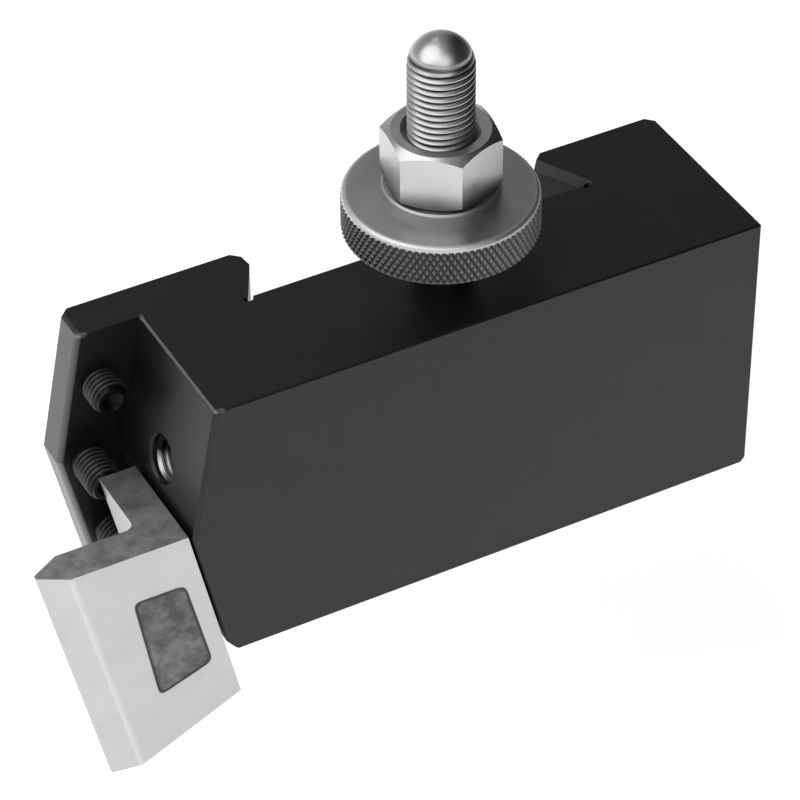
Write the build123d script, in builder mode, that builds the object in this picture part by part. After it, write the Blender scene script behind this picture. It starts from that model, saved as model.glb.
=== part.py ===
from build123d import *
from math import atan2, cos, radians, sin, tan
import os

os.makedirs("parts", exist_ok=True)

# ---------------------------------------------------------------------------
# Driving dimensions, millimetres. The origin is the middle of the dovetail
# floor: +X runs along the holder away from the blade, +Y points back to the
# tool post, +Z is up.
# ---------------------------------------------------------------------------

# holder block
block_length = 127.8            # top left edge to the square right end
block_width = 44.4              # front face to back face
block_height = 65.8
end_to_centre = 62.3            # top left edge to the stud and dovetail centre
back_corner_chamfer = 1.5       # upright back corner of the right end
right_foot_cut = 1.2            # flat on the bottom right corner of the end profile
edge_break = 0.4                # broken sharp edges round the top, the bottom and the right end
end_edge_break = 0.85           # wider break down the front of the left end
foot_cut_along = 2.1            # flat on the bottom left corner of the end profile
foot_cut_up = 2.8

# arrow shaped left end
upper_lean = 11.0               # upper facet, degrees from upright
lower_lean = 12.0               # lower facet, degrees from upright
nose_drop = 31.8                # top face down to the nose
nose_round = 3.0
wall_reach = 14.2               # rear wall beyond the main left face
wall_thickness = 9.5
wall_back_chamfer = 2.1
wall_front_chamfer = 1.0

# dovetail in the back
dovetail_depth = 14.6
dovetail_floor_width = 80.6
dovetail_angle = 62.0           # flank to floor
lip_cut_along_back = 4.7        # flat that takes off the sharp lip of each flank
lip_cut_depth = 2.9
dovetail_lead = 1.7             # chamfer on the top and bottom ends of a flank
relief_radius = 1.25            # round relief in each floor corner

# height stud, thread M14 x 1.5
stud_diameter = 14.0
stud_from_front = 20.9
stud_height = 56.8              # above the top face
stud_crown_height = 4.1
stud_crown_diameter = 12.6
stud_lead_length = 1.0          # taper from the thread to the crown
stud_hole_depth = 24.0
stud_seat_depth = 22.0
stud_seat_clearance = 0.02

# nuts on the stud
nut_clearance = 0.05            # radial, nut bore over the stud
knurled_nut_diameter = 41.3
knurled_nut_thickness = 9.0
knurled_nut_gap = 10.3          # top face up to the nut
knurled_nut_chamfer = 0.8
knurled_boss_diameter = 24.6
knurled_boss_height = 2.1
knurled_boss_break = 0.4
lock_nut_flats = 22.0
lock_nut_height = 13.0
lock_nut_turn = 20.8            # degrees, as it was tightened
lock_nut_seat = 0.02            # above the boss of the knurled nut
lock_nut_top_circle = 20.6      # face left by the turned chamfer
lock_nut_chamfer_angle = 30.0
bore_countersink = 1.3

# threading blade, measured square to its own axis
blade_tilt = 12.0               # axis from upright, foot towards the block
blade_plate_thickness = 7.9
blade_plate_width = 31.4
blade_point_angle = 60.0
blade_stem_width = 8.1
blade_stem_depth = 25.2         # front face to the back of the stem
blade_point_flat = 1.0
blade_inner_round = 2.0
blade_top_drop = 30.4           # top face of the block down to the ground top
blade_setback = 0.4             # front face behind the front of the block
blade_side_at_top = -7.1        # right side at the ground top, from the top left edge
blade_foot_drop = 78.1          # foot below the top face, at the right side
blade_foot_slope = 25.0         # degrees, foot rising to the right
heel_width = 8.0                # along Y, at the back of the stem
heel_reach = 5.4                # out of the stem's right side
heel_top_drop = 13.5            # ground top down to the heel, along the axis
heel_running_clearance = 0.04
keyway_end_clearance = 0.8      # keyway floor beyond the heel
keyway_back_clearance = 0.3
keyway_top_drop = 4.0           # ground top down to the keyway's round end, along the axis

# set screws, thread M8 x 1.25
screw_diameter = 8.0
screw_length = 14.0
screw_clearance = 0.05
screw_chamfer = 0.9
screw_cup_diameter = 4.6
screw_cup_depth = 1.4
screw_socket_flats = 4.0
screw_socket_depth = 5.0
screw_touch = 0.02              # point to the back of the stem
upper_screw_reach = 6.2         # point out of the rear wall
upper_screw_at = (-9.8, 14.3)   # left of the top left edge, below the top face
middle_screw_at = (-13.5, 33.7)
lower_screw_at = (-9.5, 53.9)

# tapped hole in the upper facet, thread M10
end_hole_diameter = 10.0
end_hole_depth = 20.0
end_hole_back = 17.7            # from the front face
end_hole_drop = 23.4            # below the top face
end_hole_countersink = 0.5

# ---------------------------------------------------------------------------
# Positions that follow from the dimensions
# ---------------------------------------------------------------------------
left_x = -end_to_centre
right_x = block_length - end_to_centre
back_y = dovetail_depth
front_y = back_y - block_width
wall_y = back_y - wall_thickness
top_z = block_height / 2
bottom_z = -block_height / 2
stud_y = front_y + stud_from_front

nose_z = top_z - nose_drop
nose_step = nose_drop * tan(radians(upper_lean))
foot_step = (block_height - nose_drop) * tan(radians(lower_lean))
foot_cut_back = foot_cut_up * tan(radians(lower_lean))
wall_left_x = left_x - wall_reach

stud_radius = stud_diameter / 2
stud_bottom_z = top_z - stud_seat_depth
stud_top_z = top_z + stud_height
stud_crown_z = stud_top_z - stud_crown_height
stud_lead_z = stud_crown_z - stud_lead_length
crown_radius = stud_crown_diameter / 2
crown_sphere = (crown_radius**2 + stud_crown_height**2) / 2 / stud_crown_height
crown_half_angle = atan2(crown_radius, crown_sphere - stud_crown_height) / 2
crown_mid = (
    crown_sphere * sin(crown_half_angle),
    stud_top_z - crown_sphere * (1 - cos(crown_half_angle)),
)

knurled_bottom_z = top_z + knurled_nut_gap
knurled_top_z = knurled_bottom_z + knurled_nut_thickness
lock_bottom_z = knurled_top_z + knurled_boss_height + lock_nut_seat
lock_top_z = lock_bottom_z + lock_nut_height
lock_corner = lock_nut_flats / 2 / cos(radians(30))
lock_circle = lock_nut_top_circle / 2
lock_bevel = (lock_corner - lock_circle) * tan(radians(lock_nut_chamfer_angle))
nut_bore = stud_radius + nut_clearance
stud_axis = Axis((0, stud_y, 0), (0, 0, 1))

lean_out = sin(radians(blade_tilt))
lean_up = cos(radians(blade_tilt))
blade_front_y = front_y + blade_setback
blade_corner = (left_x + blade_side_at_top, blade_front_y, top_z - blade_top_drop)
blade_plane = Plane(origin=blade_corner, x_dir=(lean_up, 0, lean_out), z_dir=(-lean_out, 0, lean_up))
blade_axis = Axis(blade_corner, (-lean_out, 0, lean_up))
foot_corner_x = blade_corner[0] + (blade_foot_drop - blade_top_drop) * tan(radians(blade_tilt))
foot_plane = Plane(
    origin=(foot_corner_x, blade_front_y, top_z - blade_foot_drop),
    z_dir=(sin(radians(blade_foot_slope)), 0, -cos(radians(blade_foot_slope))),
)
blade_overrun = blade_plate_width * tan(radians(blade_tilt)) + 1
blade_stock_length = (blade_foot_drop - blade_top_drop) * 1.6
point_length = (blade_plate_thickness - blade_point_flat) / 2 / tan(radians(blade_point_angle / 2))
point_half = blade_point_flat / 2
plate_middle = blade_plate_thickness / 2

keyway_width = heel_width + heel_running_clearance + keyway_back_clearance
keyway_middle = blade_stem_depth + keyway_back_clearance - keyway_width / 2
keyway_reach = heel_reach + keyway_end_clearance

upper_slope = radians(upper_lean)
end_hole_plane = Plane(
    origin=(left_x - end_hole_drop * tan(upper_slope), front_y + end_hole_back, top_z - end_hole_drop),
    z_dir=(-cos(upper_slope), 0, sin(upper_slope)),
)
keyway_length = block_height - blade_top_drop
keyway_plane = Plane(origin=blade_corner, x_dir=(lean_out, 0, -lean_up), z_dir=(lean_up, 0, lean_out))


def end_profile(left):
    """Side view of the block with its top left corner at the given X."""
    return [
        (left, top_z),
        (right_x, top_z),
        (right_x, bottom_z + right_foot_cut),
        (right_x - right_foot_cut, bottom_z),
        (left - nose_step + foot_step + foot_cut_along, bottom_z),
        (left - nose_step + foot_step - foot_cut_back, bottom_z + foot_cut_up),
        (left - nose_step, nose_z),
    ]


# ---------------------------------------------------------------------------
# Holder block: one milled steel piece
# ---------------------------------------------------------------------------
with BuildPart() as rear_wall:
    with BuildSketch(Plane.XZ.offset(-wall_y)):
        Polygon(*end_profile(wall_left_x), align=None)
    extrude(amount=-wall_thickness)
    wall_end_faces = rear_wall.faces().sort_by(Axis.X)[0:2]
    wall_corners = [
        edge
        for face in wall_end_faces
        for edge in face.edges()
        if abs(edge.tangent_at(0).Y) < 0.5
    ]
    chamfer([edge for edge in wall_corners if edge.center().Y > back_y - 0.01], wall_back_chamfer)
    chamfer([edge for edge in wall_corners if edge.center().Y < wall_y + 0.01], wall_front_chamfer)

with BuildPart() as holder_block:
    with BuildSketch(Plane.XZ.offset(-front_y)):
        Polygon(*end_profile(left_x), align=None)
    extrude(amount=-(wall_y - front_y))
    nose_edge = holder_block.edges().filter_by(Axis.Y).sort_by(Axis.X)[0]
    fillet(nose_edge, nose_round)
    add(rear_wall.part)
    right_corners = holder_block.edges().filter_by(Axis.Z).group_by(Axis.X)[-1]
    chamfer(right_corners.sort_by(Axis.Y)[-1], back_corner_chamfer)

    # dovetail slot through the back, top to bottom
    floor_half = dovetail_floor_width / 2
    flank_step = 1 / tan(radians(dovetail_angle))
    lip_y = back_y - lip_cut_depth
    lip_half = floor_half - lip_y * flank_step
    mouth_half = floor_half - back_y * flank_step + lip_cut_along_back
    with BuildSketch(Plane.XY.offset(top_z)):
        with BuildLine():
            Polyline(
                (-floor_half, 0),
                (floor_half, 0),
                (lip_half, lip_y),
                (mouth_half, back_y),
                (-mouth_half, back_y),
                (-lip_half, lip_y),
                close=True,
            )
        make_face()
    extrude(amount=-block_height, mode=Mode.SUBTRACT)
    flank_ends = [
        edge
        for edge in holder_block.edges()
        if abs(abs(edge.center().Z) - top_z) < 0.01
        and abs(edge.center().Y - lip_y / 2) < 0.5
        and abs(edge.tangent_at(0).Y) > 0.5
        and abs(edge.center().X) < floor_half
    ]
    chamfer(flank_ends, dovetail_lead)
    with BuildSketch(Plane.XY.offset(top_z)):
        with Locations((-floor_half, 0), (floor_half, 0)):
            Circle(relief_radius)
    extrude(amount=-block_height, mode=Mode.SUBTRACT)

    # tapped hole for the height stud
    with BuildSketch(Plane.XY.offset(top_z)):
        with Locations((0, stud_y)):
            Circle(stud_diameter / 2 + stud_seat_clearance)
    extrude(amount=-stud_hole_depth, mode=Mode.SUBTRACT)

    # three tapped holes for the set screws through the rear wall
    with BuildSketch(Plane.XZ.offset(-back_y)):
        for across, down in (upper_screw_at, middle_screw_at, lower_screw_at):
            with Locations((left_x + across, top_z - down)):
                Circle(screw_diameter / 2 + screw_clearance)
    extrude(amount=wall_thickness, mode=Mode.SUBTRACT)

    # tapped hole square to the upper facet
    with BuildSketch(end_hole_plane):
        Circle(end_hole_diameter / 2)
    extrude(amount=-end_hole_depth, mode=Mode.SUBTRACT)
    round_edges = holder_block.edges().filter_by(GeomType.CIRCLE)
    chamfer(round_edges.sort_by_distance(end_hole_plane.origin)[0], end_hole_countersink)

    # keyway for the heel of the blade, milled up the lower facet from below
    with BuildSketch(keyway_plane):
        with Locations((keyway_top_drop + keyway_length, keyway_middle)):
            SlotOverall(2 * keyway_length, keyway_width)
    extrude(amount=keyway_reach, mode=Mode.SUBTRACT)

    # sharp edges broken, a little more down the front of the left end
    leaning_edges = [
        edge
        for edge in holder_block.edges()
        if edge.bounding_box().max.X < left_x + 0.01
        and edge.bounding_box().min.X > left_x - nose_step - 0.01
        and edge.center().Y < front_y + 0.01
        and edge.center().Z > bottom_z + foot_cut_up
    ]
    chamfer(leaning_edges, end_edge_break)
    straight_edges = holder_block.edges().filter_by(GeomType.LINE)
    front_edges = [
        edge
        for edge in straight_edges
        if edge.center().Y < front_y + 0.01 and edge.bounding_box().max.X > right_x - right_foot_cut - 0.01
    ]
    top_end_edges = [
        edge
        for edge in straight_edges
        if edge.center().Z > top_z - 0.01
        and (
            edge.bounding_box().min.X > right_x - back_corner_chamfer - 0.01
            or abs(edge.bounding_box().min.X - left_x) < 0.01 and edge.center().Y < wall_y
            and edge.bounding_box().max.X < left_x + end_edge_break + 0.01
        )
    ]
    chamfer(front_edges + top_end_edges, edge_break)

holder_block.part.label = "holder_block"
export_step(holder_block.part, "parts/holder_block.step")

# ---------------------------------------------------------------------------
# Height stud: screwed into the block, crowned top
# ---------------------------------------------------------------------------
with BuildPart() as height_stud:
    with BuildSketch(Plane.XZ.offset(-stud_y)):
        with BuildLine():
            Polyline(
                (0, stud_top_z),
                (0, stud_bottom_z),
                (stud_radius, stud_bottom_z),
                (stud_radius, stud_lead_z),
                (crown_radius, stud_crown_z),
            )
            ThreePointArc((crown_radius, stud_crown_z), crown_mid, (0, stud_top_z))
        make_face()
    revolve(axis=stud_axis)

height_stud.part.label = "height_stud"
export_step(height_stud.part, "parts/height_stud.step")

# ---------------------------------------------------------------------------
# Knurled height nut: turned disc with a low boss
# ---------------------------------------------------------------------------
with BuildPart() as knurled_nut:
    with BuildSketch(Plane.XY.offset(knurled_bottom_z)):
        with Locations((0, stud_y)):
            Circle(knurled_nut_diameter / 2)
    extrude(amount=knurled_nut_thickness)
    chamfer(knurled_nut.edges().filter_by(GeomType.CIRCLE), knurled_nut_chamfer)
    with BuildSketch(Plane.XY.offset(knurled_top_z)):
        with Locations((0, stud_y)):
            Circle(knurled_boss_diameter / 2)
    extrude(amount=knurled_boss_height)
    chamfer(knurled_nut.edges().filter_by(GeomType.CIRCLE).sort_by(Axis.Z)[-1], knurled_boss_break)
    with BuildSketch(Plane.XY.offset(knurled_bottom_z)):
        with Locations((0, stud_y)):
            Circle(stud_radius + nut_clearance)
    extrude(amount=knurled_nut_thickness + knurled_boss_height, mode=Mode.SUBTRACT)

knurled_nut.part.label = "knurled_nut"
export_step(knurled_nut.part, "parts/knurled_nut.step")

# ---------------------------------------------------------------------------
# Lock nut: hexagon with a turned chamfer top and bottom
# ---------------------------------------------------------------------------
with BuildPart() as lock_nut:
    with BuildSketch(Plane.XY.offset(lock_bottom_z)):
        with Locations((0, stud_y)):
            RegularPolygon(lock_nut_flats / 2, 6, major_radius=False, rotation=lock_nut_turn)
    extrude(amount=lock_nut_height)
    with BuildSketch(Plane.XZ.offset(-stud_y)):
        Polygon(
            (0, lock_bottom_z),
            (lock_circle, lock_bottom_z),
            (lock_corner, lock_bottom_z + lock_bevel),
            (lock_corner, lock_top_z - lock_bevel),
            (lock_circle, lock_top_z),
            (0, lock_top_z),
            align=None,
        )
    revolve(axis=stud_axis, mode=Mode.INTERSECT)
    with BuildSketch(Plane.XZ.offset(-stud_y)):
        Polygon(
            (0, lock_bottom_z),
            (nut_bore + bore_countersink, lock_bottom_z),
            (nut_bore, lock_bottom_z + bore_countersink),
            (nut_bore, lock_top_z - bore_countersink),
            (nut_bore + bore_countersink, lock_top_z),
            (0, lock_top_z),
            align=None,
        )
    revolve(axis=stud_axis, mode=Mode.SUBTRACT)

lock_nut.part.label = "lock_nut"
export_step(lock_nut.part, "parts/lock_nut.step")

# ---------------------------------------------------------------------------
# Threading blade: ground all over, one section along a leaning axis, with
# the top ground level and a heel at the back that hooks into the keyway
# ---------------------------------------------------------------------------
with BuildPart() as threading_blade:
    with BuildSketch(blade_plane.offset(-blade_stock_length)):
        with BuildLine():
            Polyline(
                (0, 0),
                (0, blade_stem_depth),
                (-blade_stem_width, blade_stem_depth),
                (-blade_stem_width, blade_plate_thickness),
                (-blade_plate_width + point_length, blade_plate_thickness),
                (-blade_plate_width, plate_middle + point_half),
                (-blade_plate_width, plate_middle - point_half),
                (-blade_plate_width + point_length, 0),
                close=True,
            )
        make_face()
    extrude(amount=blade_stock_length + blade_overrun)
    inner_corner = blade_plane.from_local_coords((-blade_stem_width, blade_plate_thickness, 0))
    long_edges = threading_blade.edges().filter_by(blade_axis)
    fillet(long_edges.sort_by_distance(inner_corner)[0], blade_inner_round)
    with BuildSketch(blade_plane.offset(-blade_stock_length)):
        with Locations((heel_reach / 2, blade_stem_depth - heel_width / 2)):
            Rectangle(heel_reach, heel_width)
    extrude(amount=blade_stock_length - heel_top_drop)
    split(bisect_by=Plane(origin=blade_corner, z_dir=(0, 0, 1)), keep=Keep.BOTTOM)
    split(bisect_by=foot_plane, keep=Keep.BOTTOM)

threading_blade.part.label = "threading_blade"
export_step(threading_blade.part, "parts/threading_blade.step")

# ---------------------------------------------------------------------------
# Set screws: one turned pattern, cup point forwards, hexagon socket at the back
# ---------------------------------------------------------------------------
screw_radius = screw_diameter / 2
socket_start_y = screw_length - screw_socket_depth
with BuildPart() as set_screw:
    with BuildSketch(Plane.XY):
        Polygon(
            (0, 0),
            (screw_radius - screw_chamfer, 0),
            (screw_radius, screw_chamfer),
            (screw_radius, screw_length - screw_chamfer),
            (screw_radius - screw_chamfer, screw_length),
            (0, screw_length),
            align=None,
        )
    revolve(axis=Axis.Y)
    with BuildSketch(Plane.XY):
        Polygon((0, 0), (screw_cup_diameter / 2, 0), (0, screw_cup_depth), align=None)
    revolve(axis=Axis.Y, mode=Mode.SUBTRACT)
    with BuildSketch(Plane.XZ.offset(-screw_length)):
        RegularPolygon(screw_socket_flats / 2, 6, major_radius=False)
    extrude(amount=screw_socket_depth, mode=Mode.SUBTRACT)

stem_back_y = blade_front_y + blade_stem_depth
upper_screw_y = wall_y - upper_screw_reach
pressed_screw_y = stem_back_y + screw_touch

with BuildPart() as set_screw_upper:
    with Locations((left_x + upper_screw_at[0], upper_screw_y, top_z - upper_screw_at[1])):
        add(set_screw.part)
set_screw_upper.part.label = "set_screw_upper"
export_step(set_screw_upper.part, "parts/set_screw_upper.step")

with BuildPart() as set_screw_middle:
    with Locations((left_x + middle_screw_at[0], pressed_screw_y, top_z - middle_screw_at[1])):
        add(set_screw.part)
set_screw_middle.part.label = "set_screw_middle"
export_step(set_screw_middle.part, "parts/set_screw_middle.step")

with BuildPart() as set_screw_lower:
    with Locations((left_x + lower_screw_at[0], pressed_screw_y, top_z - lower_screw_at[1])):
        add(set_screw.part)
set_screw_lower.part.label = "set_screw_lower"
export_step(set_screw_lower.part, "parts/set_screw_lower.step")
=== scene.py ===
import math

import bmesh
import bpy
from mathutils import Matrix, Vector


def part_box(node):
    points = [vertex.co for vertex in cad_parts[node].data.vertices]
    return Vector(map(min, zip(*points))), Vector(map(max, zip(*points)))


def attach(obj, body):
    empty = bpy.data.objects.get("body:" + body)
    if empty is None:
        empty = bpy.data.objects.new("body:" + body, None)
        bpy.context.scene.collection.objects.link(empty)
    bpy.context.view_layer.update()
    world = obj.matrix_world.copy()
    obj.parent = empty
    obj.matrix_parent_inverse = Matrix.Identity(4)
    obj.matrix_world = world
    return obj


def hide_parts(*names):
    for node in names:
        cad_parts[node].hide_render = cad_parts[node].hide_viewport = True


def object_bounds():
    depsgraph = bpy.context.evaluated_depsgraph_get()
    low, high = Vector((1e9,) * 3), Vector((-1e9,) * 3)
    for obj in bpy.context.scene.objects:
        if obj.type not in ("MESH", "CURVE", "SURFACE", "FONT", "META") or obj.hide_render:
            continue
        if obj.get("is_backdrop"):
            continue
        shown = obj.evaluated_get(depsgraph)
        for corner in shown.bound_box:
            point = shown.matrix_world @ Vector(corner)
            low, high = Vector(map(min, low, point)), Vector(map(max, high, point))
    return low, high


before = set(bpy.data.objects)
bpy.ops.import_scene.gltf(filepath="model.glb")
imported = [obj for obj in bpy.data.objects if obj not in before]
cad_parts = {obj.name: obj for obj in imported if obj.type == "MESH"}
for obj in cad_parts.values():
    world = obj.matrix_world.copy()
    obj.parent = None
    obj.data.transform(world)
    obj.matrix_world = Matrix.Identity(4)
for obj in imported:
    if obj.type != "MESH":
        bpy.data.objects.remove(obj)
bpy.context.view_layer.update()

# ---------------------------------------------------------------------------
# Studio. A long lens looks down on the holder from its front left, over a
# white sweep. Two large round softboxes hang high, on the left and in front,
# with a small lamp behind. The room gets darker towards the right.
# ---------------------------------------------------------------------------
# where the camera looks from, and how its own axes lie
azimuth, elevation, roll = (math.radians(angle) for angle in (28.061, 39.976, -0.402))
back = Vector((
    -math.sin(azimuth) * math.cos(elevation),
    -math.cos(azimuth) * math.cos(elevation),
    math.sin(elevation),
))
level_side = Vector((math.cos(azimuth), -math.sin(azimuth), 0))
level_up = level_side.cross(-back)
side = level_side * math.cos(roll) + level_up * math.sin(roll)
up = level_up * math.cos(roll) - level_side * math.sin(roll)
camera_place = Vector((-0.29170, -0.53771, 0.50217))

lens = bpy.data.cameras.new("studio_camera")
lens.lens = 165.94
lens.sensor_width = 36.0
lens.clip_start = 0.05
lens.clip_end = 50.0
camera = bpy.data.objects.new("studio_camera", lens)
bpy.context.scene.collection.objects.link(camera)
camera_turn = Matrix((side, up, back)).transposed().to_4x4()
camera.matrix_world = Matrix.Translation(camera_place) @ camera_turn
bpy.context.scene.camera = camera
bpy.context.scene.view_settings.view_transform = "Standard"


def node(tree, kind, inputs=None, **settings):
    """Adds a node, sets its options, and links or sets each named input."""
    made = tree.nodes.new(kind)
    for name, value in settings.items():
        setattr(made, name, value)
    for key, value in (inputs or {}).items():
        socket = made.inputs[key]
        if isinstance(value, bpy.types.NodeSocket):
            tree.links.new(value, socket)
        else:
            socket.default_value = value
    return made


def reckon(tree, kind, first, second=None, third=None):
    """One Math node: its operation on up to three values or sockets."""
    values = enumerate((first, second, third))
    inputs = {place: value for place, value in values if value is not None}
    return node(tree, "ShaderNodeMath", inputs, operation=kind).outputs[0]


def ramp(tree, value, start, end, low=0.0, high=1.0, kind="LINEAR"):
    """Carries a value that runs from start to end over to low and high."""
    ends = {"Value": value, "From Min": start, "From Max": end, "To Min": low, "To Max": high}
    return node(tree, "ShaderNodeMapRange", ends, interpolation_type=kind).outputs[0]


def vectors(tree, kind, first, second=None):
    """One Vector Math node: its operation on one or two vectors or sockets."""
    inputs = {place: value for place, value in enumerate((first, second)) if value is not None}
    made = node(tree, "ShaderNodeVectorMath", inputs, operation=kind)
    return made.outputs["Value" if kind in ("DOT_PRODUCT", "LENGTH", "DISTANCE") else "Vector"]


def coordinate(tree, vector, axis):
    """One coordinate of a vector."""
    return node(tree, "ShaderNodeSeparateXYZ", {0: vector}).outputs[axis]


def material(name):
    """A new material. Returns it with its tree, its output node and its Object coordinates."""
    made = bpy.data.materials.new(name)
    made.use_nodes = True
    tree = made.node_tree
    tree.nodes.clear()
    surface = node(tree, "ShaderNodeOutputMaterial")
    return made, tree, surface, node(tree, "ShaderNodeTexCoord").outputs["Object"]


def lamp(name, place, size, power):
    """A round softbox at place, turned to the holder."""
    data = bpy.data.lights.new(name, "AREA")
    data.shape = "DISK"
    data.size = size
    data.energy = power
    made = bpy.data.objects.new(name, data)
    bpy.context.scene.collection.objects.link(made)
    made.location = place
    made.rotation_mode = "QUATERNION"
    made.rotation_quaternion = (-Vector(place)).to_track_quat("-Z", "Y")


lamp("overhead_softbox", (-0.95, 0.10, 1.25), size=2.0, power=16.0)
lamp("front_softbox", (-0.35, -1.20, 1.15), size=1.4, power=5.5)
lamp("back_lamp", (0.12, 0.85, 1.20), size=0.2, power=0.4)

# the floor glows for the camera and in mirrors only, and less towards the right
sweep_half = 6.0
sweep_drop = -0.10
sweep_glow = 0.62
fade_start, fade_end, fade_level = 0.35, 0.90, 0.1
sweep_finish, tree, surface, spot = material("white_sweep")
rays = node(tree, "ShaderNodeLightPath")
reflected, refracted = rays.outputs["Is Glossy Ray"], rays.outputs["Is Transmission Ray"]
mirrored = reckon(tree, "MAXIMUM", reflected, refracted)
across = coordinate(tree, spot, "X")
fade = ramp(tree, across, fade_start, fade_end, 1.0, fade_level)
graded = reckon(tree, "MULTIPLY", mirrored, fade)
seen = reckon(tree, "MAXIMUM", rays.outputs["Is Camera Ray"], graded)
strength = reckon(tree, "MULTIPLY", seen, sweep_glow)
glow = node(tree, "ShaderNodeEmission", {"Color": (1, 1, 1, 1), "Strength": strength})
paper = node(tree, "ShaderNodeBsdfDiffuse", {"Color": (0.8, 0.8, 0.8, 1)})
lit = node(tree, "ShaderNodeAddShader", {0: glow.outputs[0], 1: paper.outputs[0]})
tree.links.new(lit.outputs[0], surface.inputs["Surface"])

sweep_mesh = bpy.data.meshes.new("sweep")
square = ((-1, -1), (1, -1), (1, 1), (-1, 1))
corners = [(x * sweep_half, y * sweep_half, sweep_drop) for x, y in square]
sweep_mesh.from_pydata(corners, [], [(0, 1, 2, 3)])
sweep_mesh.materials.append(sweep_finish)
sweep = bpy.data.objects.new("sweep", sweep_mesh)
bpy.context.scene.collection.objects.link(sweep)
sweep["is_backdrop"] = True

# the room is dimmer overhead and on its dark side, and white to the camera
horizon_level, overhead_level, dark_level = 0.60, 0.26, 0.06
overhead_height = 0.5
dark_side = (0.94, -0.34, 0.0)
dark_start, dark_end = 0.14, 0.52
world = bpy.data.worlds.new("studio_room")
bpy.context.scene.world = world
world.use_nodes = True
tree = world.node_tree
tree.nodes.clear()
direction = node(tree, "ShaderNodeTexCoord").outputs["Generated"]
rightward = vectors(tree, "DOT_PRODUCT", direction, dark_side)
height = coordinate(tree, direction, "Z")
walls = ramp(tree, height, 0.0, overhead_height, horizon_level, overhead_level)
darkened = ramp(tree, rightward, dark_start, dark_end, 1.0, dark_level, "SMOOTHSTEP")
walls = reckon(tree, "MULTIPLY", walls, darkened)
rays = node(tree, "ShaderNodeLightPath")
level = node(tree, "ShaderNodeMix", {0: rays.outputs["Is Camera Ray"], 2: walls, 3: 1.0}).outputs[0]
room = node(tree, "ShaderNodeBackground", {"Color": (1, 1, 1, 1), "Strength": level})
tree.links.new(room.outputs[0], node(tree, "ShaderNodeOutputWorld").inputs["Surface"])

# ---------------------------------------------------------------------------
# Holder block. One piece of steel, milled on every side and then blackened.
# The end facets of its wall and its upper left edge are rubbed bright.
# ---------------------------------------------------------------------------


def grey(level):
    """A neutral colour."""
    return level, level, level


def blend(tree, amount, first, second):
    """Mixes two colours by an amount."""
    colours = [(*c, 1.0) if isinstance(c, tuple) else c for c in (first, second)]
    mixed = node(
        tree, "ShaderNodeMix", {0: amount, 6: colours[0], 7: colours[1]}, data_type="RGBA",
    )
    return mixed.outputs[2]


def bumped(tree, height, strength, distance):
    """A surface normal tilted by a height."""
    values = {"Height": height, "Strength": strength, "Distance": distance}
    return node(tree, "ShaderNodeBump", values).outputs[0]


def shaded(tree, surface, values):
    """Gives a material its Principled shader, with its named inputs set."""
    shader = node(tree, "ShaderNodeBsdfPrincipled", values)
    tree.links.new(shader.outputs[0], surface.inputs["Surface"])


def group(name, inputs, outputs):
    """A shader node group with named sockets. Returns it with its input and output nodes."""
    made = bpy.data.node_groups.new(name, "ShaderNodeTree")
    for label, kind, value in inputs:
        socket = made.interface.new_socket(label, in_out="INPUT", socket_type=kind)
        socket.default_value = value
    for label, kind in outputs:
        made.interface.new_socket(label, in_out="OUTPUT", socket_type=kind)
    return made, node(made, "NodeGroupInput"), node(made, "NodeGroupOutput")


def placed(tree, kind, position, **values):
    """Puts a node group in a material, gives it a position and sets its other inputs."""
    made = node(tree, "ShaderNodeGroup", node_tree=kind)
    tree.links.new(position, made.inputs["Position"])
    for name, value in values.items():
        made.inputs[name.replace("_", " ")].default_value = value
    return made.outputs


grain, start, end = group(
    "Metal grain",
    [
        ("Position", "NodeSocketVector", (0, 0, 0)),
        ("Stretch", "NodeSocketVector", (1, 1, 1)),
        ("Turn", "NodeSocketVector", (0, 0, 0)),
        ("Fine Size", "NodeSocketFloat", 0.0003),
        ("Blotch Size", "NodeSocketFloat", 0.006),
    ],
    [("Fine", "NodeSocketFloat"), ("Blotch", "NodeSocketFloat")],
)
laid = node(
    grain, "ShaderNodeMapping",
    {"Vector": start.outputs["Position"], "Rotation": start.outputs["Turn"]},
)
pulled = vectors(grain, "MULTIPLY", laid.outputs[0], start.outputs["Stretch"])
# fine marks follow the pull of the tool, blotches do not
fine_scale = reckon(grain, "DIVIDE", 1.0, start.outputs["Fine Size"])
blotch_scale = reckon(grain, "DIVIDE", 1.0, start.outputs["Blotch Size"])
fine = node(
    grain, "ShaderNodeTexNoise", {"Vector": pulled, "Scale": fine_scale, "Detail": 3.0},
)
blotch = node(
    grain, "ShaderNodeTexNoise",
    {"Vector": start.outputs["Position"], "Scale": blotch_scale, "Detail": 4.0, "Roughness": 0.6},
)
grain.links.new(fine.outputs["Fac"], end.inputs["Fine"])
grain.links.new(blotch.outputs["Fac"], end.inputs["Blotch"])

wear_and_highlight_line, start, end = group(
    "Wear and highlight line",
    [
        ("Position", "NodeSocketVector", (0, 0, 0)),
        ("From", "NodeSocketVector", (0, 0, 0)),
        ("To", "NodeSocketVector", (0, 0, 1)),
        ("Width", "NodeSocketFloat", 0.0004),
        ("Breakup Size", "NodeSocketFloat", 0.002),
    ],
    [("Mask", "NodeSocketFloat")],
)
away = vectors(wear_and_highlight_line, "SUBTRACT", start.outputs["Position"], start.outputs["From"])
run = vectors(wear_and_highlight_line, "SUBTRACT", start.outputs["To"], start.outputs["From"])
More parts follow.
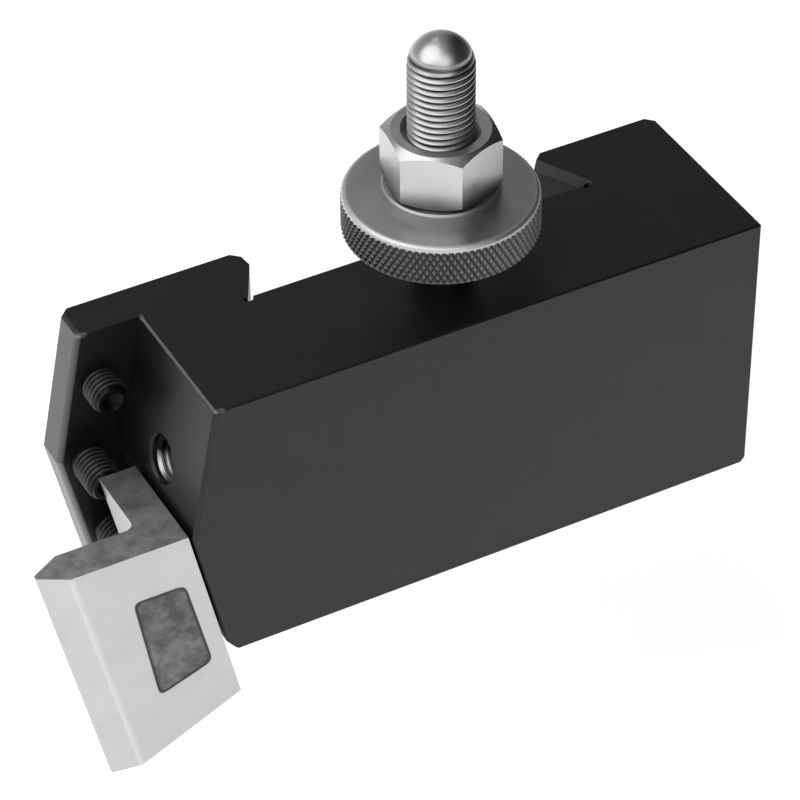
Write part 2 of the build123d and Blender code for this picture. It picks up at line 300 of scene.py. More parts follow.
# the distance to the nearest point between the two ends
along = vectors(wear_and_highlight_line, "DOT_PRODUCT", away, run)
whole = vectors(wear_and_highlight_line, "DOT_PRODUCT", run, run)
share = node(
    wear_and_highlight_line, "ShaderNodeClamp", {"Value": reckon(wear_and_highlight_line, "DIVIDE", along, whole)},
)
nearest = node(
    wear_and_highlight_line, "ShaderNodeVectorMath", {0: run, "Scale": share.outputs[0]}, operation="SCALE",
)
gap = vectors(wear_and_highlight_line, "DISTANCE", away, nearest.outputs[0])
breakup_scale = reckon(wear_and_highlight_line, "DIVIDE", 1.0, start.outputs["Breakup Size"])
ragged = node(
    wear_and_highlight_line, "ShaderNodeTexNoise",
    {"Vector": start.outputs["Position"], "Scale": breakup_scale, "Detail": 3.0},
)
spread = reckon(wear_and_highlight_line, "ADD", 0.5, ragged.outputs["Fac"])
reach = reckon(wear_and_highlight_line, "MULTIPLY", start.outputs["Width"], spread)
nearness = reckon(wear_and_highlight_line, "DIVIDE", gap, reach)
wear_and_highlight_line.links.new(ramp(wear_and_highlight_line, nearness, 1.15, 0.65), end.inputs["Mask"])

block_low, block_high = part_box("holder_block")
main_left = -0.0623
wall_face = 0.0051
edge_inset = 0.0002
top_edge = block_high.z - edge_inset
left_edge = main_left + edge_inset
# a thin, even black that is a little greyer in places
black_oxide, tree, surface, spot = material("black_oxide")
skin = placed(tree, grain, spot, Fine_Size=0.0005, Blotch_Size=0.014)
# where each rubbed line starts and ends, and how wide it is
rubbed = 0.0
for start_point, end_point, width in (
    ((left_edge, wall_face, top_edge), (left_edge, block_low.y + 0.001, top_edge), 0.00032),
    ((left_edge, wall_face, top_edge), (left_edge, wall_face - 0.0006, top_edge), 0.0005),
    (
        (left_edge, block_low.y + 0.0006, top_edge),
        (left_edge + 0.0016, block_low.y + 0.0003, top_edge), 0.00045,
    ),
    ((-0.0762, 0.0059, top_edge), (-0.0748, 0.0052, top_edge), 0.00065),
):
    line = placed(
        tree, wear_and_highlight_line, spot, From=start_point, To=end_point, Width=width, Breakup_Size=0.0015,
    )
    rubbed = reckon(tree, "MAXIMUM", rubbed, line["Mask"])
# the wall's end has two leaning facets that meet at the nose
nose = Vector((block_low.x, 0, 0.0011))
facets = None
for lean in (math.radians(11), math.radians(-12)):
    off = vectors(tree, "SUBTRACT", spot, tuple(nose))
    rise = vectors(tree, "DOT_PRODUCT", off, (-math.cos(lean), 0, math.sin(lean)))
    facets = rise if facets is None else reckon(tree, "MAXIMUM", facets, rise)
worn_end = ramp(tree, facets, -0.0013, -0.0003)
oxide = blend(tree, skin["Blotch"], grey(0.002), grey(0.007))
# the lower end facet is painted lighter than the upper one, a painted highlight
lower_facet_highlight = ramp(tree, coordinate(tree, spot, "Z"), nose.z + 0.0003, nose.z - 0.0003)
end_steel = blend(tree, lower_facet_highlight, grey(0.13), grey(0.21))
oxide = blend(tree, worn_end, oxide, end_steel)
shown = blend(tree, rubbed, oxide, grey(0.20))
bumps = bumped(tree, skin["Fine"], 0.06, 0.0002)
shaded(
    tree, surface,
    {
        "Base Color": shown, "Metallic": reckon(tree, "MAXIMUM", rubbed, worn_end),
        "Roughness": ramp(tree, skin["Fine"], 0.2, 0.8, 0.32, 0.44), "Specular IOR Level": 0.42,
        "Normal": bumps,
    },
)


def dress(name, finish):
    """Gives a carried-over solid its finish."""
    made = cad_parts[name]
    made.data.materials.clear()
    made.data.materials.append(finish)
    return made


dress("holder_block", black_oxide)

# ---------------------------------------------------------------------------
# Height stud. Turned from bar with a crowned end, its M14 thread rolled, and
# screwed tight into the top of the block. It stays bright.
# ---------------------------------------------------------------------------


def turned(rings, around=72, loop=False):
    """A closed solid turned about Z from (height, radius) rings, or (height, flats, 6)."""
    work = bmesh.new()
    made = []
    for ring in rings:
        height, radius = ring[0], ring[1]
        if radius == 0:
            made.append([work.verts.new((0, 0, height))])
            continue
        row = []
        for step in range(around):
            angle = 2 * math.pi * step / around
            reach = radius
            if len(ring) == 3:
                sixth = math.pi / 3
                reach = radius / 2 / math.cos(angle % sixth - sixth / 2)
            row.append(work.verts.new((reach * math.cos(angle), reach * math.sin(angle), height)))
        made.append(row)
    pairs = list(zip(made, made[1:]))
    if loop:
        pairs.append((made[-1], made[0]))
    for low, high in pairs:
        for step in range(around):
            ahead = (step + 1) % around
            face = []
            for row, place in ((low, step), (low, ahead), (high, ahead), (high, step)):
                vert = row[place % len(row)]
                if vert not in face:
                    face.append(vert)
            work.faces.new(face)
    bmesh.ops.recalc_face_normals(work, faces=work.faces)
    mesh = bpy.data.meshes.new("turned")
    work.to_mesh(mesh)
    work.free()
    return mesh


def grown(tree, values):
    """Runs a geometry node tree on an empty mesh and returns the plain mesh that it makes."""
    seed = bpy.data.objects.new("seed", bpy.data.meshes.new("seed"))
    bpy.context.scene.collection.objects.link(seed)
    modifier = seed.modifiers.new("grow", "NODES")
    modifier.node_group = tree
    inputs = [item for item in tree.interface.items_tree if item.in_out == "INPUT"]
    sockets = {item.name: item.identifier for item in inputs}
    for name, value in values.items():
        modifier[sockets[name]] = value
    graph = bpy.context.evaluated_depsgraph_get()
    mesh = bpy.data.meshes.new_from_object(seed.evaluated_get(graph))
    bpy.data.objects.remove(seed)
    return mesh


def piece(name, parts, finish, crease=38):
    """Joins meshes, each with its place, into one object at the origin with one finish."""
    work = bmesh.new()
    for mesh, place in parts:
        mesh.transform(place)
        work.from_mesh(mesh)
    data = bpy.data.meshes.new(name)
    work.to_mesh(data)
    work.free()
    data.materials.clear()
    data.materials.append(finish)
    data.polygons.foreach_set("material_index", [0] * len(data.polygons))
    data.polygons.foreach_set("use_smooth", [True] * len(data.polygons))
    data.set_sharp_from_angle(angle=math.radians(crease))
    made = bpy.data.objects.new(name, data)
    bpy.context.scene.collection.objects.link(made)
    return made


screw_thread = tree = bpy.data.node_groups.new("Screw thread", "GeometryNodeTree")
for label, kind, value in (
    ("Root Radius", "NodeSocketFloat", 0.006),
    ("Depth", "NodeSocketFloat", 0.0009),
    ("Pitch", "NodeSocketFloat", 0.0015),
    ("Turns", "NodeSocketFloat", 10.0),
    ("Inner Width", "NodeSocketFloat", 0.96),
    ("Outer Width", "NodeSocketFloat", 0.14),
    ("Runout Turns", "NodeSocketFloat", 0.5),
    ("Dome Height", "NodeSocketFloat", 1.0),
    ("Dome Radius", "NodeSocketFloat", 0.1),
    ("Steps per Turn", "NodeSocketInt", 48),
):
    tree.interface.new_socket(label, in_out="INPUT", socket_type=kind).default_value = value
tree.interface.new_socket("Finish", in_out="INPUT", socket_type="NodeSocketMaterial")
tree.interface.new_socket("Geometry", in_out="OUTPUT", socket_type="NodeSocketGeometry")
least_swell = 0.02
sunk_share = 0.45
# a helix at the root, whose ridge swells and fades at its two ends
start = node(tree, "NodeGroupInput")
pitch = start.outputs["Pitch"]
rise = reckon(tree, "MULTIPLY", start.outputs["Turns"], pitch)
helix = node(
    tree, "GeometryNodeCurveSpiral",
    {
        "Resolution": start.outputs["Steps per Turn"], "Rotations": start.outputs["Turns"],
        "Start Radius": start.outputs["Root Radius"], "End Radius": start.outputs["Root Radius"],
        "Height": rise, "Reverse": True,
    },
)
upright = node(tree, "GeometryNodeSetCurveNormal", {"Curve": helix.outputs[0]}, mode="Z_UP")
along = node(tree, "GeometryNodeSplineParameter").outputs["Factor"]
nearest = reckon(tree, "MINIMUM", along, reckon(tree, "SUBTRACT", 1.0, along))
turns_in = reckon(tree, "MULTIPLY", nearest, start.outputs["Turns"])
run_in = reckon(tree, "DIVIDE", turns_in, start.outputs["Runout Turns"])
swell = reckon(tree, "MAXIMUM", reckon(tree, "MINIMUM", 1.0, run_in), least_swell)
# the ridge in section, stood on the helix and sunk a little into the core
ridge = node(
    tree, "GeometryNodeCurvePrimitiveQuadrilateral",
    {
        "Height": start.outputs["Depth"],
        "Bottom Width": reckon(tree, "MULTIPLY", pitch, start.outputs["Inner Width"]),
        "Top Width": reckon(tree, "MULTIPLY", pitch, start.outputs["Outer Width"]),
        "Offset": 0.0,
    },
    mode="TRAPEZOID",
)
half_depth = reckon(tree, "MULTIPLY", start.outputs["Depth"], sunk_share)
outward = node(tree, "ShaderNodeCombineXYZ", {"X": half_depth}).outputs[0]
standing = node(
    tree, "GeometryNodeTransform",
    {"Geometry": ridge.outputs[0], "Translation": outward, "Rotation": (0, 0, -math.pi / 2)},
)
sweep_ridge = node(
    tree, "GeometryNodeCurveToMesh",
    {
        "Curve": upright.outputs[0], "Profile Curve": standing.outputs[0],
        "Scale": swell, "Fill Caps": True,
    },
)
# above the foot of the dome the ridge is drawn in to the dome
place = node(tree, "GeometryNodeInputPosition").outputs[0]
axes = node(tree, "ShaderNodeSeparateXYZ", {0: place})
lifted = reckon(tree, "SUBTRACT", axes.outputs[2], start.outputs["Dome Height"])
above = reckon(tree, "MAXIMUM", lifted, 0.0)
inside = reckon(
    tree, "SUBTRACT",
    reckon(tree, "POWER", start.outputs["Dome Radius"], 2.0), reckon(tree, "POWER", above, 2.0),
)
limit = reckon(tree, "SQRT", reckon(tree, "MAXIMUM", inside, 0.0))
out = vectors(tree, "LENGTH", vectors(tree, "MULTIPLY", place, (1, 1, 0)))
squeeze = reckon(tree, "MINIMUM", 1.0, reckon(tree, "DIVIDE", limit, out))
rounded = node(
    tree, "ShaderNodeCombineXYZ",
    {
        "X": reckon(tree, "MULTIPLY", axes.outputs[0], squeeze),
        "Y": reckon(tree, "MULTIPLY", axes.outputs[1], squeeze), "Z": axes.outputs[2],
    },
).outputs[0]
domed = node(
    tree, "GeometryNodeSetPosition", {"Geometry": sweep_ridge.outputs[0], "Position": rounded},
)
real = node(tree, "GeometryNodeRealizeInstances", {0: domed.outputs[0]})
coated = node(
    tree, "GeometryNodeSetMaterial",
    {"Geometry": real.outputs[0], "Material": start.outputs["Finish"]},
)
tree.links.new(coated.outputs[0], node(tree, "NodeGroupOutput").inputs["Geometry"])

dark_root, start, end = group(
    "Dark root",
    [
        ("Position", "NodeSocketVector", (0, 0, 0)),
        ("Root Radius", "NodeSocketFloat", 0.006),
        ("Crest Radius", "NodeSocketFloat", 0.007),
    ],
    [("Mask", "NodeSocketFloat")],
)
# one inside the root radius, nothing outside the crest radius
flat_place = vectors(dark_root, "MULTIPLY", start.outputs["Position"], (1, 1, 0))
reach = vectors(dark_root, "LENGTH", flat_place)
mask = ramp(dark_root, reach, start.outputs["Crest Radius"], start.outputs["Root Radius"])
dark_root.links.new(mask, end.inputs["Mask"])

stud_low, stud_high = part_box("height_stud")
stud_axis = Matrix.Translation(((stud_low.x + stud_high.x) / 2, (stud_low.y + stud_high.y) / 2, 0))
stud_radius = (stud_high.x - stud_low.x) / 2
stud_pitch = 0.0015
stud_depth = 0.00092
root_radius = stud_radius - stud_depth
dome_height = stud_high.z - stud_radius
root_lean = math.asin(root_radius / stud_radius)
thread_top = dome_height + stud_radius * math.cos(root_lean)
# the thread starts inside the block and runs a little past the dome's foot
thread_buried = 0.0020
thread_shoulder = 0.0002
thread_past_dome = 0.0004
thread_foot = block_high.z - thread_buried
rings = [
    (stud_low.z, 0), (stud_low.z, stud_radius), (thread_foot, stud_radius),
    (thread_foot + thread_shoulder, root_radius),
]
dome_steps = 14
for step in range(dome_steps, -1, -1):
    lean = root_lean * step / dome_steps
    rings.append((dome_height + stud_radius * math.cos(lean), stud_radius * math.sin(lean)))

rolled_steel, tree, surface, spot = material("rolled_bright_steel")
centred = vectors(tree, "SUBTRACT", spot, tuple(stud_axis.translation))
skin = placed(tree, grain, spot)
# the thread roots below the dome are painted darker, painted shade with some oil
root_shade = placed(
    tree, dark_root, centred,
    Root_Radius=root_radius + 0.0001, Crest_Radius=root_radius + 0.0005,
)["Mask"]
below_dome = ramp(tree, coordinate(tree, spot, "Z"), thread_top, thread_top - 0.0012)
bright = blend(tree, skin["Blotch"], (0.50, 0.50, 0.49), (0.62, 0.62, 0.61))
shown = blend(tree, reckon(tree, "MULTIPLY", root_shade, below_dome), bright, grey(0.05))
bumps = bumped(tree, skin["Fine"], 0.05, 0.0001)
shaded(
    tree, surface,
    {
        "Base Color": shown, "Metallic": 1.0,
        "Roughness": ramp(tree, skin["Blotch"], 0.3, 0.7, 0.30, 0.40), "Normal": bumps,
    },
)

rolled = grown(
    screw_thread,
    {
        "Root Radius": root_radius, "Depth": stud_depth, "Pitch": stud_pitch,
        "Turns": (thread_top + thread_past_dome - thread_foot) / stud_pitch,
        "Dome Height": dome_height - thread_foot,
        "Dome Radius": stud_radius - 0.00005, "Steps per Turn": 64,
    },
)
height_stud = piece(
    "height_stud_turned",
    [
        (turned(rings, around=96), stud_axis),
        (rolled, stud_axis @ Matrix.Translation((0, 0, thread_foot))),
    ],
    rolled_steel,
)
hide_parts("height_stud")
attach(height_stud, "holder")

# ---------------------------------------------------------------------------
# Knurled height nut. A turned steel disc with a collar on top and a diamond
# knurl rolled round its rim. Its edges are broken afterwards.
# ---------------------------------------------------------------------------
diamond_knurl = tree = bpy.data.node_groups.new("Diamond knurl", "GeometryNodeTree")
for label, kind, value in (
    ("Radius", "NodeSocketFloat", 0.02065),
    ("Depth", "NodeSocketFloat", 0.00045),
    ("Width", "NodeSocketFloat", 0.009),
    ("Chamfer", "NodeSocketFloat", 0.0008),
    ("Around", "NodeSocketInt", 91),
    ("Rows", "NodeSocketInt", 7),
):
    tree.interface.new_socket(label, in_out="INPUT", socket_type=kind).default_value = value
tree.interface.new_socket("Finish", in_out="INPUT", socket_type="NodeSocketMaterial")
tree.interface.new_socket("Geometry", in_out="OUTPUT", socket_type="NodeSocketGeometry")
tooth_sunk = 0.00006
tooth_tip = 0.16
reach_round, reach_along = 0.56, 1.12
width_share = 0.498
# one point for each tooth, in staggered rows round the rim
start = node(tree, "NodeGroupInput")
around, rows = start.outputs["Around"], start.outputs["Rows"]
count = reckon(tree, "MULTIPLY", around, rows)
index = node(tree, "GeometryNodeInputIndex").outputs[0]
row = reckon(tree, "FLOOR", reckon(tree, "DIVIDE", reckon(tree, "ADD", index, 0.5), around))
column = reckon(tree, "SUBTRACT", index, reckon(tree, "MULTIPLY", row, around))
stagger = reckon(tree, "MULTIPLY", reckon(tree, "MODULO", row, 2.0), 0.5)
tooth_angle = reckon(tree, "DIVIDE", 2 * math.pi, around)
angle = reckon(tree, "MULTIPLY", reckon(tree, "ADD", column, stagger), tooth_angle)
chamfers = reckon(tree, "MULTIPLY", start.outputs["Chamfer"], 2.0)
straight = reckon(tree, "SUBTRACT", start.outputs["Width"], chamfers)
row_step = reckon(tree, "DIVIDE", straight, reckon(tree, "SUBTRACT", rows, 1.0))
middle_row = reckon(tree, "MULTIPLY", reckon(tree, "SUBTRACT", rows, 1.0), 0.5)
row_height = reckon(tree, "MULTIPLY", reckon(tree, "SUBTRACT", row, middle_row), row_step)
valley = reckon(tree, "SUBTRACT", start.outputs["Radius"], start.outputs["Depth"])
foot = reckon(tree, "SUBTRACT", valley, tooth_sunk)
tooth_x = reckon(tree, "MULTIPLY", foot, reckon(tree, "COSINE", angle))
tooth_y = reckon(tree, "MULTIPLY", foot, reckon(tree, "SINE", angle))
seat = node(tree, "ShaderNodeCombineXYZ", {"X": tooth_x, "Y": tooth_y, "Z": row_height}).outputs[0]
points = node(tree, "GeometryNodePoints", {"Count": count, "Position": seat, "Radius": 0.0001})
# each tooth is a four-sided pyramid that faces outwards and meets its neighbours
tooth_pitch = reckon(tree, "MULTIPLY", start.outputs["Radius"], tooth_angle)
half_wide = reckon(tree, "MULTIPLY", tooth_pitch, reach_round)
half_long = reckon(tree, "MULTIPLY", row_step, reach_along)
tooth_depth = reckon(tree, "ADD", start.outputs["Depth"], tooth_sunk)
tooth = node(
    tree, "GeometryNodeMeshCone",
    {
        "Vertices": 4, "Side Segments": 1, "Fill Segments": 1,
        "Radius Top": tooth_tip, "Radius Bottom": 1.0, "Depth": 1.0,
    },
    fill_type="NGON",
)
outline = node(
    tree, "ShaderNodeCombineXYZ", {"X": half_wide, "Y": half_long, "Z": tooth_depth},
).outputs[0]
turn_out = node(
    tree, "ShaderNodeCombineXYZ",
    {"X": math.pi / 2, "Z": reckon(tree, "ADD", angle, math.pi / 2)},
).outputs[0]
teeth = node(
    tree, "GeometryNodeInstanceOnPoints",
    {
        "Points": points.outputs[0], "Instance": tooth.outputs[0],
        "Rotation": turn_out, "Scale": outline,
    },
)
real = node(tree, "GeometryNodeRealizeInstances", {0: teeth.outputs[0]})
# teeth are cut off at both faces and drawn in at the chamfers
place = node(tree, "GeometryNodeInputPosition").outputs[0]
axes = node(tree, "ShaderNodeSeparateXYZ", {0: place})
half_width = reckon(tree, "MULTIPLY", start.outputs["Width"], width_share)
lowest = reckon(tree, "MULTIPLY", half_width, -1.0)
kept_height = node(
    tree, "ShaderNodeClamp", {"Value": axes.outputs[2], "Min": lowest, "Max": half_width},
).outputs[0]
half_straight = reckon(tree, "MULTIPLY", straight, 0.5)
past = reckon(tree, "SUBTRACT", reckon(tree, "ABSOLUTE", kept_height), half_straight)
past = reckon(tree, "MAXIMUM", past, 0.0)
limit = reckon(tree, "SUBTRACT", start.outputs["Radius"], past)
out = vectors(tree, "LENGTH", vectors(tree, "MULTIPLY", place, (1, 1, 0)))
squeeze = reckon(tree, "DIVIDE", reckon(tree, "MINIMUM", out, limit), out)
trimmed = node(
    tree, "ShaderNodeCombineXYZ",
    {
        "X": reckon(tree, "MULTIPLY", axes.outputs[0], squeeze),
        "Y": reckon(tree, "MULTIPLY", axes.outputs[1], squeeze), "Z": kept_height,
    },
).outputs[0]
chamfered = node(
    tree, "GeometryNodeSetPosition", {"Geometry": real.outputs[0], "Position": trimmed},
)
coated = node(
    tree, "GeometryNodeSetMaterial",
    {"Geometry": chamfered.outputs[0], "Material": start.outputs["Finish"]},
)
tree.links.new(coated.outputs[0], node(tree, "NodeGroupOutput").inputs["Geometry"])

turning_rings, start, end = group(
    "Turning rings",
    [("Position", "NodeSocketVector", (0, 0, 0)), ("Spacing", "NodeSocketFloat", 0.0003)],
    [("Height", "NodeSocketFloat")],
)
# fine circles left by the lathe
flat_place = vectors(turning_rings, "MULTIPLY", start.outputs["Position"], (1, 1, 0))
reach = vectors(turning_rings, "LENGTH", flat_place)
steps_out = reckon(turning_rings, "DIVIDE", reach, start.outputs["Spacing"])
laid_out = node(turning_rings, "ShaderNodeCombineXYZ", {"X": steps_out}).outputs[0]
lines = node(
    turning_rings, "ShaderNodeTexNoise", {"Vector": laid_out, "Scale": 1.0, "Detail": 2.0},
)
turning_rings.links.new(lines.outputs["Fac"], end.inputs["Height"])

disc_low, disc_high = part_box("knurled_nut")
disc_radius = (disc_high.x - disc_low.x) / 2
disc_width = 0.009
disc_edge = 0.0010
foot_chamfer = 0.0003
knurl_depth = 0.00045
collar_radius = 0.0123
collar_break = 0.0004
bore_radius = 0.00705
bore_chamfer = 0.0006
knurl_runout = 0.0003
disc_top = disc_low.z + disc_width
rim = disc_radius - knurl_depth
edge_radius = disc_radius - 0.0002
rings = [
    (disc_low.z, bore_radius + bore_chamfer), (disc_low.z, disc_radius - foot_chamfer),
    (disc_low.z + foot_chamfer, rim), (disc_top - disc_edge - knurl_runout, rim),
    (disc_top - disc_edge, edge_radius),
]
edge_steps = 6
for step in range(1, edge_steps + 1):
    lean = math.pi / 2 * step / edge_steps
    edge_height = disc_top - disc_edge * (1 - math.sin(lean))
    rings.append((edge_height, edge_radius - disc_edge * (1 - math.cos(lean))))
rings += [
    (disc_top, collar_radius), (disc_high.z - collar_break, collar_radius),
    (disc_high.z, collar_radius - collar_break), (disc_high.z, bore_radius + bore_chamfer),
    (disc_high.z - bore_chamfer, bore_radius), (disc_low.z + bore_chamfer, bore_radius),
]

turned_steel, tree, surface, spot = material("turned_steel")
centred = vectors(tree, "SUBTRACT", spot, tuple(stud_axis.translation))
skin = placed(tree, grain, spot, Fine_Size=0.0004, Blotch_Size=0.009)
cuts = placed(tree, turning_rings, centred)["Height"]
# the knurl is oiled and lighter on its crests; its valleys are painted darker, a painted shade
knurled = placed(
    tree, dark_root, centred,
    Root_Radius=disc_radius - 0.0005, Crest_Radius=disc_radius - 0.0011,
)["Mask"]
height = coordinate(tree, spot, "Z")
below_edge = ramp(tree, height, disc_top - disc_edge, disc_top - disc_edge - 0.0004)
knurled = reckon(tree, "MULTIPLY", knurled, below_edge)
valley = placed(tree, dark_root, centred, Root_Radius=rim, Crest_Radius=disc_radius)["Mask"]
plain = blend(tree, skin["Blotch"], grey(0.38), grey(0.46))
# the rounded upper edge is painted lighter, a painted highlight
edge_highlight = placed(
    tree, dark_root, centred,
    Root_Radius=disc_radius - disc_edge, Crest_Radius=disc_radius - disc_edge - 0.0004,
)["Mask"]
plain = blend(tree, edge_highlight, plain, (0.66, 0.66, 0.65))
oil_and_valley_shade = blend(tree, valley, grey(0.24), grey(0.07))
bumps = bumped(tree, cuts, 0.10, 0.0001)
shaded(
    tree, surface,
    {
        "Base Color": blend(tree, knurled, plain, oil_and_valley_shade), "Metallic": 1.0,
        "Roughness": ramp(tree, skin["Blotch"], 0.3, 0.7, 0.42, 0.52), "Normal": bumps,
    },
)

knurl_width = disc_width - disc_edge + 0.0001
knurled_rim = grown(
    diamond_knurl,
    {
        "Radius": disc_radius, "Depth": knurl_depth, "Width": knurl_width,
        "Chamfer": foot_chamfer,
    },
)
knurled_nut = piece(
    "knurled_nut_turned",
    [
        (turned(rings, around=144, loop=True), stud_axis),
        (knurled_rim, stud_axis @ Matrix.Translation((0, 0, disc_low.z + knurl_width / 2))),
    ],
    turned_steel,
    crease=25,
)
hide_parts("knurled_nut")
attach(knurled_nut, "knurled_nut")

# ---------------------------------------------------------------------------
# Lock nut. A bright M14 hexagon nut, chamfered top and bottom, jammed down on
# the collar of the knurled nut.
# ---------------------------------------------------------------------------
bright_steel, tree, surface, spot = material("bright_steel")
skin = placed(tree, grain, spot, Fine_Size=0.0004, Blotch_Size=0.005)
# the nut is painted darker towards its foot, a painted shade where it meets the collar
nut_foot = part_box("lock_nut")[0].z
foot_shade_height = 0.0048
height = coordinate(tree, spot, "Z")
foot_shade = ramp(tree, height, nut_foot + foot_shade_height, nut_foot, kind="SMOOTHSTEP")
plain = blend(tree, skin["Blotch"], grey(0.54), (0.66, 0.66, 0.65))
bumps = bumped(tree, skin["Fine"], 0.05, 0.0001)
shaded(
    tree, surface,
    {
        "Base Color": blend(tree, foot_shade, plain, grey(0.20)), "Metallic": 1.0,
        "Roughness": ramp(tree, skin["Blotch"], 0.3, 0.7, 0.26, 0.36), "Normal": bumps,
    },
)
dress("lock_nut", bright_steel)

# ---------------------------------------------------------------------------
# End hole. A tapped hole in the left facet of the block, beside the blade.
# Its M10 thread is cut after the blackening, so it is bright.
# ---------------------------------------------------------------------------
hole_lean = math.radians(11)
hole_mouth = Vector((-0.06685, -0.0121, 0.0095))
hole_inward = Vector((math.cos(hole_lean), 0, -math.sin(hole_lean)))
hole_radius = 0.005
hole_pitch = 0.0015
hole_crest = 0.00425
hole_thread_length = 0.0120
thread_inset = 0.0008
hole_turn = hole_inward.to_track_quat("Z", "Y").to_matrix().to_4x4()
hole_place = Matrix.Translation(hole_mouth + hole_inward * thread_inset) @ hole_turn

cut_steel, tree, surface, spot = material("cut_thread_steel")
skin = placed(tree, grain, spot, Fine_Size=0.0003, Blotch_Size=0.003)
bare = blend(tree, skin["Blotch"], grey(0.40), (0.58, 0.58, 0.57))
# the upper part of the thread is painted near-black, a painted shade; the lower part is bare steel
hole_up = Vector((math.sin(hole_lean), 0, math.cos(hole_lean)))
off = vectors(tree, "SUBTRACT", spot, tuple(hole_mouth))
height = vectors(tree, "DOT_PRODUCT", off, tuple(hole_up))
lower_thread_lit = ramp(tree, height, -0.0012, -0.0026)
shaded(
    tree, surface,
    {
        "Base Color": blend(tree, lower_thread_lit, grey(0.012), bare), "Metallic": 1.0,
        "Roughness": ramp(tree, skin["Fine"], 0.2, 0.8, 0.30, 0.42),
    },
)
tapped = grown(
    screw_thread,
    {
        "Root Radius": hole_crest, "Depth": hole_radius - hole_crest, "Pitch": hole_pitch,
        "Turns": hole_thread_length / hole_pitch, "Inner Width": 0.14, "Outer Width": 0.92,
        "Steps per Turn": 48,
    },
)
end_thread = piece("end_hole_thread", [(tapped, hole_place)], cut_steel)
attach(end_thread, "holder")

# ---------------------------------------------------------------------------
# Threading blade. Ground all over from tool steel, with a shallow etched
# panel, left plain, on the front and a point ground to 60 degrees.
# ---------------------------------------------------------------------------
blade_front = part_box("threading_blade")[0].y
panel_corners = (
    (-0.08250, -0.00985), (-0.07060, -0.00990), (-0.06530, -0.03370), (-0.07790, -0.03830),
)
panel_round = 0.0030
blade_lean = math.radians(12)
blade_down = Vector((math.sin(blade_lean), 0, -math.cos(blade_lean)))
bevel_top = Vector((-0.09427, blade_front, -0.00279))
bevel_over = 0.004
bevel_length = 0.070

ground_steel, tree, surface, spot = material("ground_steel")
skin = placed(
    tree, grain, spot, Fine_Size=0.0004, Blotch_Size=0.010,
    Stretch=(0.06, 1.0, 1.0), Turn=(0.0, blade_lean, 0.0),
)
# the panel lies inside four straight sides with rounded corners
inside = None
for step, (x, z) in enumerate(panel_corners):
    next_x, next_z = panel_corners[(step + 1) % len(panel_corners)]
    length = math.hypot(next_x - x, next_z - z)
    inward = ((next_z - z) / length, 0, -(next_x - x) / length)
    off = vectors(tree, "SUBTRACT", spot, (x, 0, z))
    depth = vectors(tree, "DOT_PRODUCT", off, inward)
    inside = depth if inside is None else reckon(tree, "SMOOTH_MIN", inside, depth, panel_round)
on_front = ramp(tree, coordinate(tree, spot, "Y"), blade_front + 0.0002, blade_front + 0.0001)
panel = reckon(tree, "MULTIPLY", ramp(tree, inside, -0.0001, 0.0002), on_front)
panel_border = ramp(tree, inside, 0.0010, 0.0003)
patches = placed(tree, grain, spot, Fine_Size=0.0012, Blotch_Size=0.004)
etched = blend(tree, ramp(tree, patches["Blotch"], 0.40, 0.65), grey(0.10), grey(0.21))
etched = blend(tree, panel_border, etched, grey(0.045))
ground = blend(tree, skin["Blotch"], grey(0.52), (0.64, 0.64, 0.63))
# faces that point up the blade are darker and mottled
facing = spot.node.outputs["Normal"]
upward = vectors(tree, "DOT_PRODUCT", facing, tuple(-blade_down))
upward_tone = blend(tree, ramp(tree, patches["Blotch"], 0.36, 0.62), grey(0.32), grey(0.50))
ground = blend(tree, ramp(tree, upward, 0.80, 0.90), ground, upward_tone)
# a faint bright line painted where the bevel meets the front, a painted highlight
bevel_highlight = placed(
    tree, wear_and_highlight_line, spot, From=tuple(bevel_top - blade_down * bevel_over),
    To=tuple(bevel_top + blade_down * bevel_length), Width=0.0007, Breakup_Size=0.004,
)["Mask"]
ground = blend(tree, reckon(tree, "MULTIPLY", bevel_highlight, 0.35), ground, grey(0.80))
relief = reckon(tree, "SUBTRACT", reckon(tree, "MULTIPLY", skin["Fine"], 0.15), panel)
bumps = bumped(tree, relief, 0.35, 0.0002)
shaded(
    tree, surface,
    {
        "Base Color": blend(tree, panel, ground, etched), "Metallic": 1.0,
        "Roughness": ramp(tree, skin["Fine"], 0.2, 0.8, 0.42, 0.52), "Normal": bumps,
    },
)
dress("threading_blade", ground_steel)

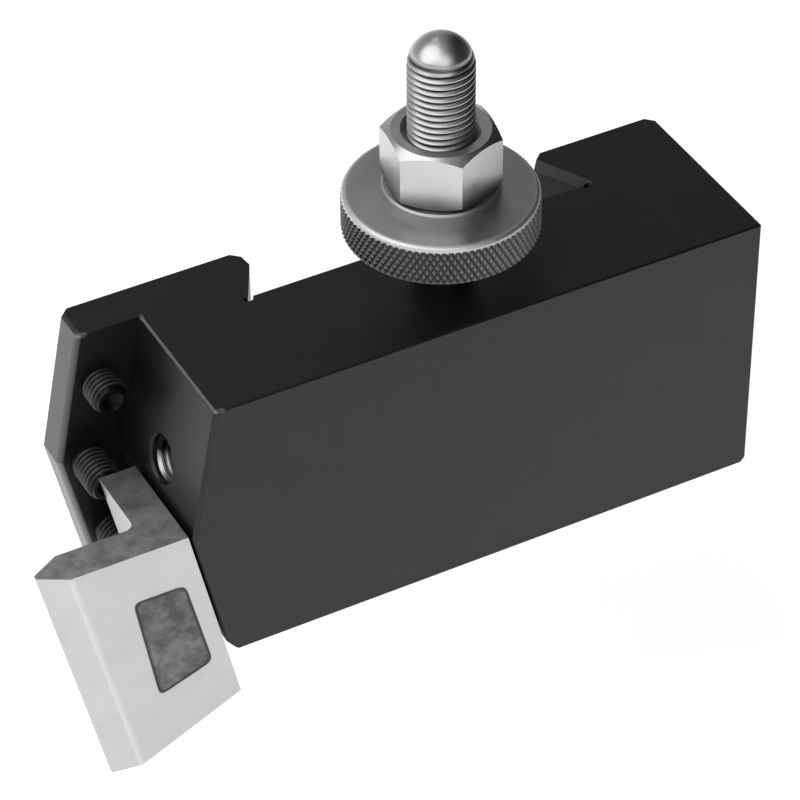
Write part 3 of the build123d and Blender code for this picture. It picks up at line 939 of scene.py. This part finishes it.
# ---------------------------------------------------------------------------
# Set screws. Three black M8 screws with a cup point and a hexagon socket,
# threaded through the rear wall: the lower two press the blade forwards.
# ---------------------------------------------------------------------------
screw_length = 0.014
screw_radius = 0.004
screw_pitch = 0.00125
screw_depth = 0.00072
screw_root = screw_radius - screw_depth
screw_point = 0.0009
end_cone = screw_point * 0.4
thread_margin = 0.00045
cup_radius = 0.0024
cup_depth = 0.0022
socket_flats = 0.004
socket_depth = 0.005
drill_cone = 0.0008
socket_floor = screw_length - socket_depth
for place in ("upper", "middle", "lower"):
    low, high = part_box("set_screw_" + place)
    screw_middle = Vector(((low.x + high.x) / 2, low.y, (low.z + high.z) / 2))
    lie = Matrix.Translation(screw_middle) @ Matrix.Rotation(-math.pi / 2, 4, "X")
    screw_black, tree, surface, spot = material("black_screw_" + place)
    centred = vectors(tree, "SUBTRACT", spot, tuple(screw_middle))
    stood = node(
        tree, "ShaderNodeMapping", {"Vector": centred, "Rotation": (math.pi / 2, 0, 0)},
    ).outputs[0]
    skin = placed(tree, grain, spot, Fine_Size=0.0004, Blotch_Size=0.003)
    # the thread roots and the cup are painted near-black, a painted shade
    root_shade = placed(
        tree, dark_root, stood,
        Root_Radius=screw_root + 0.0002, Crest_Radius=screw_radius - 0.0001,
    )["Mask"]
    crest = blend(tree, skin["Blotch"], grey(0.05), grey(0.13))
    cup_shade = placed(
        tree, dark_root, stood, Root_Radius=cup_radius, Crest_Radius=cup_radius + 0.0002,
    )["Mask"]
    root_and_cup_shade = reckon(tree, "MAXIMUM", root_shade, cup_shade)
    shaded(
        tree, surface,
        {
            "Base Color": blend(tree, root_and_cup_shade, crest, grey(0.004)), "Metallic": 0.6,
            "Roughness": ramp(tree, skin["Fine"], 0.2, 0.8, 0.32, 0.44), "Specular IOR Level": 0.4,
        },
    )
    rings = [
        (cup_depth, 0), (0, cup_radius), (0, screw_radius - screw_point), (end_cone, screw_root),
        (screw_length - end_cone, screw_root), (screw_length, screw_radius - screw_point),
        (screw_length, socket_flats, 6), (socket_floor, socket_flats, 6),
        (socket_floor - drill_cone, 0),
    ]
    turns = (screw_length - 2 * thread_margin) / screw_pitch
    cut = grown(
        screw_thread,
        {
            "Root Radius": screw_root, "Depth": screw_depth, "Pitch": screw_pitch, "Turns": turns,
            "Runout Turns": 0.8, "Steps per Turn": 40,
        },
    )
    screw = piece(
        "set_screw_" + place + "_threaded",
        [(turned(rings, around=48), lie), (cut, lie @ Matrix.Translation((0, 0, thread_margin)))],
        screw_black,
    )
    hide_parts("set_screw_" + place)
    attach(screw, place + "_screw")

low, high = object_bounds()
